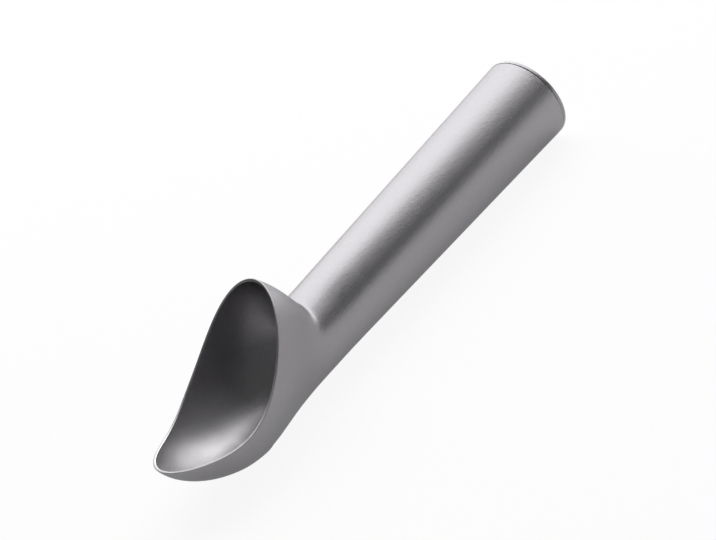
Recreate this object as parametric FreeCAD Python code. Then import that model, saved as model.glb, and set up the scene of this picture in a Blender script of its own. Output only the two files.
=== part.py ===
import FreeCAD, Part
import math
import os

# Ice cream dipper with a fluid-filled handle, in millimetres.
# The origin is the centre of the end cap's flat outer face. X runs along the handle axis towards
# that face, so the bowl lies at negative X. Z is up, and the bowl opens upwards.

# Handle
handle_end_diameter = 30.0
neck_diameter = 25.2
handle_length = 107.0
seam_edge_radius = 0.25

# Bowl, measured along the handle axis from the neck, where the handle ends
belly_from_neck = 48.6
tip_from_belly = 27.2
bowl_width = 41.4
belly_level = 8.25
bowl_depth = 13.8
swell_from_neck = 11.2
front_roundness = 2.3
front_fullness = 0.54
front_sweep = 1.46
rim_wall = 0.95
floor_wall = 2.4
rim_edge_radius = 0.3

# Hood, the tall back wall of the bowl, and the rim that runs down from its top
crease_from_neck = 7.8
crease_softness = 0.5
crease_band = 3.6
hood_slope = 1.15
hood_lean = 30.0
lean_before_neck = 12.0
lean_after_neck = 56.0
hood_top_from_neck = 15.6
hood_top_height = 27.2
rim_knee_from_neck = 40.8
rim_knee_height = 7.8
rim_low_from_neck = 56.7
rim_low_height = 2.0
rim_front_from_neck = 67.8
rim_front_height = 2.8
rim_tip_height = 4.2
pocket_from_neck = 14.5
pocket_rounding = 15.0
pocket_level = 5.0
pocket_fullness = 0.76
pocket_sweep = 1.7

# Hollow of the handle and the plug that closes it
bore_diameter = 23.4
bore_end_diameter = 19.0
bore_depth = 92.0
seat_diameter = 24.6
seat_depth = 11.0
plug_flange_thickness = 1.3
plug_edge_radius = 0.35
plug_length = 10.0
plug_wall = 2.2
plug_clearance = 0.05
seal_width = 2.6
seal_squeezed_thickness = 1.5
seal_groove_side_room = 0.3
seal_inset = 4.5
fill_gap = 6.0

# Places that follow from the sizes above
seam_x = -plug_flange_thickness
neck_x = seam_x - handle_length
skin_start_x = neck_x + lean_before_neck
belly_x = neck_x - belly_from_neck
tip_x = belly_x - tip_from_belly
crease_x = neck_x - crease_from_neck
hood_top_x = neck_x - hood_top_from_neck
rim_knee_x = neck_x - rim_knee_from_neck
rim_low_x = neck_x - rim_low_from_neck
rim_front_x = neck_x - rim_front_from_neck
pocket_x = neck_x - pocket_from_neck
swell_x = neck_x - swell_from_neck
lean_end_x = neck_x - lean_after_neck
handle_end_radius = handle_end_diameter / 2
neck_radius = neck_diameter / 2
belly_half_width = bowl_width / 2
belly_semi_depth = bowl_depth + belly_level


def handle_radius(x):
    taper = (handle_end_radius - neck_radius) / handle_length
    return handle_end_radius - taper * (seam_x - x)


def smooth_step(x, start, end):
    share = min(1.0, max(0.0, (x - start) / (end - start)))
    return share * share * (3 - 2 * share)


def lean(x):
    """Tilt of a section plane about Y: the planes fan back under the hood and stand upright elsewhere."""
    share = (skin_start_x - x) / (skin_start_x - lean_end_x)
    if not 0 < share < 1:
        return 0.0
    return math.radians(hood_lean) * math.sin(math.pi * share) ** 2


def level(x):
    """Height of the widest line of the bowl above the handle axis."""
    return belly_level * smooth_step(x, neck_x, belly_x)


def half_width(x):
    grown = smooth_step(x, swell_x, belly_x)
    return handle_radius(max(x, neck_x)) * (1 - grown) + belly_half_width * grown


def drop(x):
    """Distance from the handle axis down to the underside, along the section plane."""
    grown = smooth_step(x, neck_x, belly_x)
    return (handle_radius(max(x, neck_x)) * (1 - grown) + bowl_depth * grown) / math.cos(lean(x))


def crease_station():
    """Place on the axis of the section plane that passes through the crease on top of the handle."""
    x = crease_x
    for _ in range(20):
        x = crease_x - handle_radius(crease_x) * math.tan(lean(x))
    return x


crease_axis_x = crease_station()


def rise(x):
    """Distance from the handle axis up to the ridge of the hood, along the section plane."""
    past = (crease_axis_x - x) / crease_softness
    if past > 30:
        soft = past
    else:
        soft = math.log1p(math.exp(past))
    base = handle_radius(max(x, crease_axis_x)) / math.cos(lean(max(x, crease_axis_x)))
    return base + hood_slope * crease_softness * soft


def section_up(x):
    return FreeCAD.Vector(math.sin(lean(x)), 0, math.cos(lean(x)))


def rise_inside(x):
    """The same distance up to the hollow's ridge, which leaves the rim wall's thickness under the hood."""
    step = rim_wall / 10
    near_side = FreeCAD.Vector(x + step, 0, 0) + section_up(x + step) * rise(x + step)
    far_side = FreeCAD.Vector(x - step, 0, 0) + section_up(x - step) * rise(x - step)
    ridge = (far_side - near_side).normalize()
    return rise(x) - rim_wall / ridge.cross(section_up(x)).Length


def quarter(start, corner, end):
    arc = Part.BezierCurve()
    arc.setPoles([start, corner, end])
    arc.setWeight(2, math.sqrt(0.5))
    return arc.toShape()


def oval(x, tilt, middle, width, above, below):
    """Corner points of a closed section: two half ellipses that share their widest line."""
    up = FreeCAD.Vector(math.sin(tilt), 0, math.cos(tilt))
    side = FreeCAD.Vector(0, width, 0)
    centre = FreeCAD.Vector(x, 0, 0) + up * middle
    top = centre + up * above
    bottom = centre - up * below
    return [
        top, top + side, centre + side, bottom + side,
        bottom, bottom - side, centre - side, top - side, top,
    ]


def point_section(point):
    return [point] * 9


def skin(sections, corner=math.sqrt(0.5)):
    """Solid whose smooth skin passes through every oval section in turn; a larger corner makes them squarer."""
    places = [0.0]
    for before, after in zip(sections, sections[1:]):
        step = sum((q - p).Length for p, q in zip(before, after)) / len(before)
        places.append(places[-1] + step)
    rows = []
    for row in zip(*sections):
        curve = Part.BSplineCurve()
        curve.interpolate(Points=list(row), Parameters=places)
        rows.append(curve)
    faces = []
    for first in (0, 2, 4, 6):
        along = rows[first:first + 3]
        poles = [list(step) for step in zip(*(curve.getPoles() for curve in along))]
        surface = Part.BSplineSurface()
        surface.buildFromPolesMultsKnots(
            poles, along[0].getMultiplicities(), [3, 3], along[0].getKnots(), [0.0, 1.0],
            False, False, along[0].Degree, 2, [[1.0, corner, 1.0] for _ in poles],
        )
        faces.append(surface.toShape())
    for section in (sections[0], sections[-1]):
        if (section[0] - section[4]).Length > 0:
            arcs = [quarter(*section[first:first + 3]) for first in (0, 2, 4, 6)]
            faces.append(Part.Face(Part.Wire(arcs)))
    shell = Part.Shell(faces)
    shell.sewShape()
    solid = Part.Solid(shell)
    if solid.Volume < 0:
        solid.reverse()
    return solid


def spread(start, end, count):
    return [start + (end - start) * step / count for step in range(count)]


def front_share(share, sweep):
    """Width and depth left at a share of the way from the belly to the tip."""
    return (1 - share ** front_roundness) ** front_fullness, math.sqrt(1 - share ** sweep)


def closing_angles(count):
    return [math.pi / 2 * step / count for step in range(count)]


def make_outer_form():
    stations = spread(skin_start_x, crease_axis_x + crease_band, 5)
    stations += spread(crease_axis_x + crease_band, crease_axis_x - crease_band, 8)
    stations += spread(crease_axis_x - crease_band, belly_x, 7)
    sections = [
        oval(x, lean(x), level(x), half_width(x), rise(x) - level(x), drop(x) + level(x)) for x in stations
    ]
    above = rise(belly_x) - belly_level
    for angle in closing_angles(8):
        x = belly_x - tip_from_belly * math.sin(angle)
        wide, deep = front_share(math.sin(angle), front_sweep)
        sections.append(oval(
            x, 0.0, belly_level, belly_half_width * wide, above * wide, belly_semi_depth * deep,
        ))
    sections.append(point_section(FreeCAD.Vector(tip_x, 0, belly_level)))
    return skin(sections)


def make_handle_form():
    return Part.makeCone(
        handle_radius(skin_start_x), handle_end_radius, seam_x - skin_start_x,
        FreeCAD.Vector(skin_start_x, 0, 0), FreeCAD.Vector(1, 0, 0),
    )


def make_pocket():
    """The hollow of the bowl: the outer form drawn in by its walls, closed by a round back."""
    ends = pocket_x - pocket_rounding
    sections = [point_section(FreeCAD.Vector(pocket_x, 0, 0) + section_up(pocket_x) * pocket_level)]

    def pocket_oval(x, size):
        middle = pocket_level * (1 - size) + level(x) * size
        above = rise_inside(x) - level(x)
        below = drop(x) + level(x) - floor_wall
        return oval(x, lean(x), middle, (half_width(x) - rim_wall) * size, above * size, below * size)

    for angle in closing_angles(6)[1:]:
        share = 1 - math.cos(angle)
        sections.append(pocket_oval(pocket_x - pocket_rounding * share, math.sin(angle)))
    for x in spread(ends, belly_x, 4):
        sections.append(pocket_oval(x, 1.0))
    above = rise_inside(belly_x) - belly_level
    for angle in closing_angles(8):
        x = belly_x - (tip_from_belly - rim_wall) * math.sin(angle)
        wide, deep = front_share(math.sin(angle), pocket_sweep)
        sections.append(oval(
            x, 0.0, belly_level, (belly_half_width - rim_wall) * wide, above * wide,
            (belly_semi_depth - floor_wall) * deep,
        ))
    sections.append(point_section(FreeCAD.Vector(tip_x + rim_wall, 0, belly_level)))
    return skin(sections, pocket_fullness)


def make_rim_cut():
    """Everything above the curved rim, as a block whose underside is the side view of the rim."""
    run_up = hood_top_height / 2
    past_tip = tip_x - tip_from_belly / 3
    ceiling = 2 * (bowl_width + hood_top_height)
    steepness = (hood_top_height - rim_knee_height) / (rim_knee_from_neck - hood_top_from_neck)
    curve = Part.BSplineCurve()
    curve.interpolate([
        FreeCAD.Vector(hood_top_x + run_up, 0, hood_top_height + run_up * steepness),
        FreeCAD.Vector(hood_top_x, 0, hood_top_height),
        FreeCAD.Vector(rim_knee_x, 0, rim_knee_height),
        FreeCAD.Vector(rim_low_x, 0, rim_low_height),
        FreeCAD.Vector(rim_front_x, 0, rim_front_height),
        FreeCAD.Vector(tip_x, 0, rim_tip_height),
        FreeCAD.Vector(past_tip, 0, 1.5 * rim_tip_height),
    ])
    first = curve.StartPoint
    last = curve.EndPoint
    outline = Part.Wire([
        curve.toShape(),
        Part.makeLine(last, FreeCAD.Vector(last.x, 0, ceiling)),
        Part.makeLine(FreeCAD.Vector(last.x, 0, ceiling), FreeCAD.Vector(first.x, 0, ceiling)),
        Part.makeLine(FreeCAD.Vector(first.x, 0, ceiling), first),
    ])
    face = Part.Face(outline)
    face.translate(FreeCAD.Vector(0, -bowl_width, 0))
    return face.extrude(FreeCAD.Vector(0, 2 * bowl_width, 0))


def make_bore():
    """The hollow of the handle: a straight seat for the plug, a drafted bore and a dished end."""
    dish = bore_end_diameter / 4
    seat_x = seam_x - seat_depth
    end_x = seam_x - bore_depth
    profile = Part.Wire([
        Part.makeLine(FreeCAD.Vector(seam_x, 0, 0), FreeCAD.Vector(seam_x, 0, seat_diameter / 2)),
        Part.makeLine(
            FreeCAD.Vector(seam_x, 0, seat_diameter / 2), FreeCAD.Vector(seat_x, 0, seat_diameter / 2)),
        Part.makeLine(
            FreeCAD.Vector(seat_x, 0, seat_diameter / 2), FreeCAD.Vector(seat_x, 0, bore_diameter / 2)),
        Part.makeLine(
            FreeCAD.Vector(seat_x, 0, bore_diameter / 2),
            FreeCAD.Vector(end_x + dish, 0, bore_end_diameter / 2)),
        quarter(
            FreeCAD.Vector(end_x + dish, 0, bore_end_diameter / 2),
            FreeCAD.Vector(end_x, 0, bore_end_diameter / 2), FreeCAD.Vector(end_x, 0, 0)),
        Part.makeLine(FreeCAD.Vector(end_x, 0, 0), FreeCAD.Vector(seam_x, 0, 0)),
    ])
    face = Part.Face(profile)
    return face.revolve(FreeCAD.Vector(0, 0, 0), FreeCAD.Vector(1, 0, 0), 360)


def touches(edge, face):
    """Whether an edge lies on a face."""
    middle = edge.valueAt((edge.FirstParameter + edge.LastParameter) / 2)
    return face.distToShape(Part.Vertex(middle))[0] < 0.001


def make_scoop_body():
    rim_cut = make_rim_cut()
    whole = make_handle_form().fuse(make_outer_form())
    bowl = whole.cut(make_pocket()).cut(rim_cut).cut(make_bore())
    rim_surface = min(rim_cut.Faces, key=lambda face: face.CenterOfMass.z)
    rim_edges = [edge for edge in bowl.Edges if touches(edge, rim_surface)]
    bowl = bowl.makeFillet(rim_edge_radius, rim_edges)
    seam_edges = [
        edge for edge in bowl.Edges
        if abs(edge.CenterOfMass.x - seam_x) < 0.001 and edge.BoundBox.YLength > seat_diameter + 0.1
    ]
    return bowl.makeFillet(seam_edge_radius, seam_edges)


def disc(from_x, to_x, radius):
    return Part.makeCylinder(radius, to_x - from_x, FreeCAD.Vector(from_x, 0, 0), FreeCAD.Vector(1, 0, 0))


def seal_inner_radius():
    return seat_diameter / 2 - seal_squeezed_thickness


def make_end_plug():
    """Thin flange over the end of the handle, with a hollow spigot that carries the seal."""
    spigot_radius = seat_diameter / 2 - plug_clearance
    inner_x = seam_x - plug_length
    flange = disc(seam_x, 0.0, handle_end_radius)
    outer_edges = [edge for edge in flange.Edges if abs(edge.CenterOfMass.x) < 0.001]
    flange = flange.makeFillet(plug_edge_radius, outer_edges)
    seam_edges = [edge for edge in flange.Edges if abs(edge.CenterOfMass.x - seam_x) < 0.001]
    flange = flange.makeFillet(seam_edge_radius, seam_edges)
    spigot = disc(inner_x, seam_x, spigot_radius)
    hollow = disc(inner_x, seam_x - plug_wall, spigot_radius - seal_squeezed_thickness - plug_wall)
    groove_start = seam_x - seal_inset - seal_width - seal_groove_side_room
    groove_end = seam_x - seal_inset + seal_groove_side_room
    groove = disc(groove_start, groove_end, seat_diameter).cut(
        disc(groove_start, groove_end, seal_inner_radius()))
    return flange.fuse(spigot).cut(hollow).cut(groove).removeSplitter()


def make_plug_seal():
    """Rubber ring squeezed between the groove of the plug and the seat in the handle."""
    left = seam_x - seal_inset - seal_width
    right = seam_x - seal_inset
    low = seal_inner_radius()
    high = seat_diameter / 2
    bulge = seal_squeezed_thickness / 2
    middle = (low + high) / 2
    profile = Part.Wire([
        Part.makeLine(FreeCAD.Vector(left + bulge, 0, high), FreeCAD.Vector(right - bulge, 0, high)),
        Part.Arc(
            FreeCAD.Vector(right - bulge, 0, high), FreeCAD.Vector(right, 0, middle),
            FreeCAD.Vector(right - bulge, 0, low)).toShape(),
        Part.makeLine(FreeCAD.Vector(right - bulge, 0, low), FreeCAD.Vector(left + bulge, 0, low)),
        Part.Arc(
            FreeCAD.Vector(left + bulge, 0, low), FreeCAD.Vector(left, 0, middle),
            FreeCAD.Vector(left + bulge, 0, high)).toShape(),
    ])
    return Part.Face(profile).revolve(FreeCAD.Vector(0, 0, 0), FreeCAD.Vector(1, 0, 0), 360)


def make_heat_fluid():
    """The liquid charge. It fills the hollow up to a small air space left under the plug."""
    surface_x = seam_x - plug_length - fill_gap
    return make_bore().common(disc(seam_x - bore_depth - 1, surface_x, handle_end_radius))


makers = {
    "scoop_body": make_scoop_body,
    "end_plug": make_end_plug,
    "plug_seal": make_plug_seal,
    "heat_fluid": make_heat_fluid,
}

os.makedirs("parts", exist_ok=True)
for name, make in makers.items():
    shape = make()
    if shape.ShapeType == "Compound" and len(shape.Solids) == 1:
        shape = shape.Solids[0]
    shape.exportStep("parts/" + name + ".step")
    print(name, shape.ShapeType, shape.isValid(), round(shape.Volume), "mm3")
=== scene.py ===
# %% [markdown]
# An ice cream dipper, cast in one piece from aluminium, with a hollow handle full of liquid.
# The solids are already at their real size and in their real places, so only the sheet under
# them is modelled here. This script gives them their finish, sets the camera where the product
# photograph was taken, and lights them like a table-top studio.

# %% Load the fixed solids
import math

import bmesh
import bpy
from mathutils import Matrix, Vector


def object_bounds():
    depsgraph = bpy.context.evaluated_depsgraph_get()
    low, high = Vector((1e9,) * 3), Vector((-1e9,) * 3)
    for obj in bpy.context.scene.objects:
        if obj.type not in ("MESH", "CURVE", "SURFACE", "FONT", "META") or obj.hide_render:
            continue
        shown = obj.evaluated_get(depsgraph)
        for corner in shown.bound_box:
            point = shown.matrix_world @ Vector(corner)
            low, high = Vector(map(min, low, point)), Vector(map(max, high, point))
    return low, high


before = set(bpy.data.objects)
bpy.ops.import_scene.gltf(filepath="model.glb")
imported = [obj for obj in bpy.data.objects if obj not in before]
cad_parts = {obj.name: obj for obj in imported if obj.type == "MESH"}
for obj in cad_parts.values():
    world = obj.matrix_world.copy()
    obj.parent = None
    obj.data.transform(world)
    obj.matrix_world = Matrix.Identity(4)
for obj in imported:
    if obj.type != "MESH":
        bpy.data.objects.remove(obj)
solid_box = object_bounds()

MM = 0.001
print("solids", sorted(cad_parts), "box", [tuple(round(v, 4) for v in corner) for corner in solid_box])

# %% [markdown]
# The camera. A camera could be nudged by eye until the picture fits, but the handle is a better
# guide: it is a plain round bar, its two edges run together a little towards the bowl, and its
# end shows as a narrow oval. Three angles follow from that: how the handle lies in the picture,
# how far it leans away from the lens, and how the dipper is rolled about it. The camera is then
# placed backwards, from where it sees the cap.

# %% Place the camera
IMAGE_WIDTH = 716
IMAGE_HEIGHT = 540
FOCAL_PIXELS = 3000.0
SENSOR_WIDTH = 36.0
HANDLE_PICTURE_ANGLE = math.radians(47.2)
HANDLE_LEAN = math.radians(29.17)
HANDLE_ROLL = math.radians(59.9)
CAP_PIXEL = (527.2, 97.9)
CAP_DISTANCE = 963.5 * MM


def camera_axes():
    """The dipper's X, Y and Z directions as the camera sees them, as the columns of a matrix."""
    along = Vector((
        math.cos(HANDLE_LEAN) * math.cos(HANDLE_PICTURE_ANGLE),
        math.cos(HANDLE_LEAN) * math.sin(HANDLE_PICTURE_ANGLE),
        -math.sin(HANDLE_LEAN),
    ))
    across = Vector((math.sin(HANDLE_PICTURE_ANGLE), -math.cos(HANDLE_PICTURE_ANGLE), 0.0))
    towards = across.cross(along)
    side = -(across * math.cos(HANDLE_ROLL) + towards * math.sin(HANDLE_ROLL))
    up = towards * math.cos(HANDLE_ROLL) - across * math.sin(HANDLE_ROLL)
    return Matrix((along, side, up)).transposed()


def pixel_to_camera(pixel, distance):
    """Where a pixel lies in the camera's own axes, at a distance in front of the lens."""
    right = (pixel[0] - IMAGE_WIDTH / 2) / FOCAL_PIXELS * distance
    rise = (IMAGE_HEIGHT / 2 - pixel[1]) / FOCAL_PIXELS * distance
    return Vector((right, rise, -distance))


def add_camera():
    data = bpy.data.cameras.new("studio_camera")
    data.sensor_width = SENSOR_WIDTH
    data.lens = FOCAL_PIXELS / IMAGE_WIDTH * SENSOR_WIDTH
    camera = bpy.data.objects.new("studio_camera", data)
    turn = camera_axes().transposed()
    cap = pixel_to_camera(CAP_PIXEL, CAP_DISTANCE)
    camera.matrix_world = Matrix.Translation(-(turn @ cap)) @ turn.to_4x4()
    bpy.context.scene.collection.objects.link(camera)
    bpy.context.scene.camera = camera
    return camera


camera = add_camera()
print("camera at", tuple(round(v, 3) for v in camera.location), "lens", round(camera.data.lens, 1))

# %% [markdown]
# Finishes are made of shader nodes, and node by node they are slow to read. A small class wraps
# a socket and turns +, - and * into Math nodes, so a finish reads as a plain sum, and one method
# makes every other kind of node.

# %% A small workbench for materials


class Value:
    """A shader socket that can be used in an expression."""

    def __init__(self, bench, socket):
        self.bench = bench
        self.socket = socket

    def output(self, name):
        """Another output of the same node."""
        return Value(self.bench, self.socket.node.outputs[name])

    def _maths(self, operation, first, second):
        return self.bench.node("ShaderNodeMath", {"operation": operation}, {0: first, 1: second})

    def __add__(self, other):
        return self._maths("ADD", self, other)

    def __radd__(self, other):
        return self._maths("ADD", other, self)

    def __sub__(self, other):
        return self._maths("SUBTRACT", self, other)

    def __rsub__(self, other):
        return self._maths("SUBTRACT", other, self)

    def __mul__(self, other):
        return self._maths("MULTIPLY", self, other)

    def __rmul__(self, other):
        return self._maths("MULTIPLY", other, self)


class Bench:
    """Builds one material, node by node."""

    def __init__(self, name):
        self.material = bpy.data.materials.new(name)
        self.material.use_nodes = True
        self.tree = self.material.node_tree
        self.tree.nodes.clear()

    def node(self, kind, settings=None, inputs=None, output=0):
        made = self.tree.nodes.new(kind)
        for key, setting in (settings or {}).items():
            setattr(made, key, setting)
        for key, value in (inputs or {}).items():
            if isinstance(value, Value):
                self.tree.links.new(value.socket, made.inputs[key])
            else:
                made.inputs[key].default_value = value
        return Value(self, made.outputs[output]) if len(made.outputs) else made

    def place(self):
        """Where a point lies on the dipper, in metres."""
        return self.node("ShaderNodeTexCoord").output("Object")

    def facing(self):
        """Which way the surface faces, in the dipper's own directions."""
        return self.node("ShaderNodeTexCoord").output("Normal")

    def axis(self, vector, name):
        return self.node("ShaderNodeSeparateXYZ", {}, {0: vector}).output(name)

    def speckle(self, scale, detail=2.0, roughness=0.5):
        """Noise with that many specks to a metre, from about -0.5 to 0.5."""
        noise = self.node(
            "ShaderNodeTexNoise", {},
            {"Vector": self.place(), "Scale": scale, "Detail": detail, "Roughness": roughness},
        )
        return noise - 0.5

    def ramp(self, value, start, end):
        """0 at start and before it, 1 at end and beyond."""
        return self.node("ShaderNodeMapRange", {}, {"Value": value, "From Min": start, "From Max": end})

    def blend(self, share, first, second):
        """A colour between two others."""
        return self.node("ShaderNodeMix", {"data_type": "RGBA"}, {0: share, 6: first, 7: second}, output=2)

    def surface(self, inputs):
        """A Principled surface, and with it the finished material."""
        return self.finish(self.node("ShaderNodeBsdfPrincipled", {}, inputs))

    def finish(self, shader):
        self.node("ShaderNodeOutputMaterial", {}, {"Surface": shader})
        return self.material


def grey(level):
    return (level, level, level, 1.0)


def dress(node_name, material):
    """Give one of the fixed solids its finish."""
    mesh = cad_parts[node_name].data
    mesh.materials.clear()
    mesh.materials.append(material)
    print(node_name, "wears", material.name, "with", len(material.node_tree.nodes), "nodes")


# %% [markdown]
# The casting. After casting it is polished, then blasted with fine glass beads, which leaves an
# even satin: a metal with broad soft reflections and a grain that is just visible. A light
# anodising gives the grey its slightly violet cast. A photograph of real metal could be wrapped
# round the casting, but a grain worked out from the place on the surface has no seams and is as
# fine from close up. The same grain tints the metal, roughens it and raises it, as the beads do.
#
# The bowl's sheen is a little softer than the handle's. In the photograph the floor of its tip
# mirrors the lamp fully, while this pocket mirrors part of the hood there, so a painted highlight
# makes the metal of that floor paler. How far a point faces upward tells the floor from the walls,
# which face sideways, and from the level rim, which stays as it is.

# %% Bead-blasted aluminium
GRAIN_SCALE = 1500.0
BLOTCH_SCALE = 420.0
CLOUD_SCALE = 55.0
GRAIN_HEIGHT = 0.1 * MM
GRAIN_STRENGTH = 0.7
DARK_GRAIN = (0.275, 0.266, 0.280, 1.0)
PALE_GRAIN = (0.365, 0.355, 0.370, 1.0)
# Painted highlight: a paler metal colour for the floor of the bowl's tip, standing in for the lamp it
# mirrors.
PAINTED_TIP_HIGHLIGHT = (0.72, 0.704, 0.725, 1.0)
EDGE_SHEEN = 0.65
HANDLE_ROUGHNESS = 0.35
BOWL_ADDED_ROUGHNESS = 0.07
BOWL_START = -112 * MM
BOWL_FULL = -132 * MM
TIP_START = -140 * MM
TIP_FULL = -170 * MM
WALL_RISE = 0.1
FLOOR_RISE = 0.5
FLATTEST_FLOOR = 0.91
RIM_RISE = 0.99


def bead_blasted():
    bench = Bench("bead_blasted_aluminium")
    grain = bench.speckle(GRAIN_SCALE, detail=4.0, roughness=0.7)
    cloud = bench.speckle(CLOUD_SCALE)
    blotch = bench.speckle(BLOTCH_SCALE)
    length = bench.axis(bench.place(), "X")
    upward = bench.axis(bench.facing(), "Z")
    in_bowl = bench.ramp(length, BOWL_START, BOWL_FULL)
    on_floor = bench.ramp(upward, WALL_RISE, FLOOR_RISE) * bench.ramp(upward, RIM_RISE, FLATTEST_FLOOR)
    # Where the painted highlight goes: towards the tip, on the upward-facing floor, not on the walls or
    # the rim.
    tip_highlight_share = bench.ramp(length, TIP_START, TIP_FULL) * on_floor
    satin = bench.blend(0.5 + grain * 0.9 + cloud * 0.12 + blotch * 0.12, DARK_GRAIN, PALE_GRAIN)
    rough = HANDLE_ROUGHNESS + in_bowl * BOWL_ADDED_ROUGHNESS + grain * 0.12 + cloud * 0.04
    bumps = bench.node("ShaderNodeBump", {}, {
        "Height": grain, "Strength": GRAIN_STRENGTH, "Distance": GRAIN_HEIGHT,
    })
    return bench.surface({
        "Base Color": bench.blend(tip_highlight_share, satin, PAINTED_TIP_HIGHLIGHT), "Metallic": 1.0, "Roughness": rough,
        "Normal": bumps, "Specular Tint": grey(EDGE_SHEEN),
    })


dress("scoop_body", bead_blasted())

# %% [markdown]
# The plug. It is turned from bar and closes the handle's end, and its face is smoother and a
# shade darker than the blasted casting. Turning rings could be drawn on it, but the photograph
# sees the face edge on and shows none, so it gets a very fine even grain.

# %% Satin turned plug
TURNED_GRAIN_SCALE = 3000.0
DARK_TURNED = (0.26, 0.25, 0.262, 1.0)
PALE_TURNED = (0.33, 0.32, 0.333, 1.0)
TURNED_ROUGHNESS = 0.34


def turned_face():
    bench = Bench("satin_turned_plug")
    grain = bench.speckle(TURNED_GRAIN_SCALE, detail=3.0, roughness=0.6)
    return bench.surface({
        "Base Color": bench.blend(0.5 + grain * 0.3, DARK_TURNED, PALE_TURNED), "Metallic": 1.0,
        "Roughness": TURNED_ROUGHNESS + grain * 0.1,
    })


dress("end_plug", turned_face())

# %% [markdown]
# The seal and the fluid. Both are shut inside the handle and never show, but whoever cuts the
# part open should find rubber and liquid there, so each has a plain finish of its own: black
# rubber with a dull bloom, and a pale, smooth, slightly bluish liquid.

# %% Rubber seal
RUBBER_SPECK_SCALE = 1800.0
RUBBER_ROUGHNESS = 0.55


def moulded_rubber():
    bench = Bench("seal_rubber")
    speck = bench.speckle(RUBBER_SPECK_SCALE)
    return bench.surface({
        "Base Color": bench.blend(0.5 + speck, grey(0.018), grey(0.032)),
        "Roughness": RUBBER_ROUGHNESS + speck * 0.2,
    })


dress("plug_seal", moulded_rubber())

# %% Warming fluid
FLUID_SWIRL_SCALE = 60.0
FLUID_ROUGHNESS = 0.05
FLUID_IOR = 1.38
DEEP_FLUID = (0.55, 0.68, 0.72, 1.0)
PALE_FLUID = (0.62, 0.74, 0.78, 1.0)


def clear_fluid():
    bench = Bench("warming_fluid")
    swirl = bench.speckle(FLUID_SWIRL_SCALE)
    return bench.surface({
        "Base Color": bench.blend(0.5 + swirl, DEEP_FLUID, PALE_FLUID),
        "Roughness": FLUID_ROUGHNESS + swirl * 0.02, "IOR": FLUID_IOR,
    })


dress("heat_fluid", clear_fluid())

# %% [markdown]
# The floor. The dipper lies on its back on a white sheet. A sheet lit until it is pure white
# would need so much light that the metal would burn out, so the sheet partly glows instead. The
# camera sees it nearly pure white, as the picture's background is, the metal mirrors it at a
# lower level, and the part that doesn't glow still takes a faint shadow.

# %% White sheet
FLOOR_SIZE = 6.0
SHEET_WHITE = 0.90
CAMERA_GLOW_SHARE = 0.90
MIRROR_GLOW_SHARE = 0.60


def white_sheet():
    bench = Bench("white_sheet")
    path = bench.node("ShaderNodeLightPath")
    mirrored = path.output("Is Glossy Ray") + path.output("Is Transmission Ray")
    glow_share = path.output("Is Camera Ray") * CAMERA_GLOW_SHARE + mirrored * MIRROR_GLOW_SHARE
    sheet = bench.node("ShaderNodeBsdfDiffuse", {}, {"Color": grey(SHEET_WHITE)})
    glow = bench.node("ShaderNodeEmission", {}, {"Color": grey(1.0), "Strength": 1.0})
    return bench.finish(bench.node("ShaderNodeMixShader", {}, {0: glow_share, 1: sheet, 2: glow}))


def add_floor(height):
    shape = bmesh.new()
    bmesh.ops.create_grid(shape, x_segments=1, y_segments=1, size=FLOOR_SIZE)
    bmesh.ops.translate(shape, verts=shape.verts, vec=Vector((0, 0, height)))
    mesh = bpy.data.meshes.new("studio_floor")
    shape.to_mesh(mesh)
    shape.free()
    mesh.materials.append(white_sheet())
    floor = bpy.data.objects.new("studio_floor", mesh)
    bpy.context.scene.collection.objects.link(floor)
    return floor


floor = add_floor(solid_box[0][2])
print("floor at", round(floor.data.vertices[0].co.z, 4))

# %% [markdown]
# The light. Satin metal shows what it mirrors, so the stripes in the photograph tell where the
# lamps stood. One large soft panel overhead, leaning back behind the dipper, gives the broad
# bright stripe along the handle and part of the sheen in the tip of the bowl; the rest of that
# sheen is a painted highlight in the metal's colour. Several small lamps could do it too, but
# each would leave a stripe of its own. The white sheet underneath fills the lower right side.
# The dark band between, and the dark wall inside the bowl, mirror the dim room behind the
# camera, which is the world's faint grey.

# %% Overhead panel and dim room
VIEW_CENTRE = Vector((-92 * MM, 0, 0))
PANEL_LEAN = math.radians(25)
PANEL_DISTANCE = 1.0
PANEL_WIDTH = 2.2
PANEL_DEPTH = 1.95
PANEL_POWER = 34.0
ROOM_LIGHT = 0.165


def add_overhead_panel():
    """A soft light that faces the dipper, with its sides level in the picture."""
    turn = camera.matrix_world.to_3x3()
    right = Vector((1, 0, 0))
    outward = Vector((0, math.cos(PANEL_LEAN), -math.sin(PANEL_LEAN)))
    facing = Matrix((right, outward.cross(right), outward)).transposed()
    data = bpy.data.lights.new("overhead_panel", "AREA")
    data.shape = "RECTANGLE"
    data.size = PANEL_WIDTH
    data.size_y = PANEL_DEPTH
    data.energy = PANEL_POWER
    lamp = bpy.data.objects.new("overhead_panel", data)
    centre = VIEW_CENTRE + turn @ outward * PANEL_DISTANCE
    lamp.matrix_world = Matrix.Translation(centre) @ (turn @ facing).to_4x4()
    bpy.context.scene.collection.objects.link(lamp)
    return lamp


def dim_room():
    world = bpy.data.worlds.new("dim_room")
    world.use_nodes = True
    back = world.node_tree.nodes["Background"]
    back.inputs["Color"].default_value = grey(1.0)
    back.inputs["Strength"].default_value = ROOM_LIGHT
    return world


panel = add_overhead_panel()
bpy.context.scene.world = dim_room()
bpy.context.scene.view_settings.view_transform = "Standard"
print("panel at", tuple(round(v, 2) for v in panel.matrix_world.translation), "room light", ROOM_LIGHT)
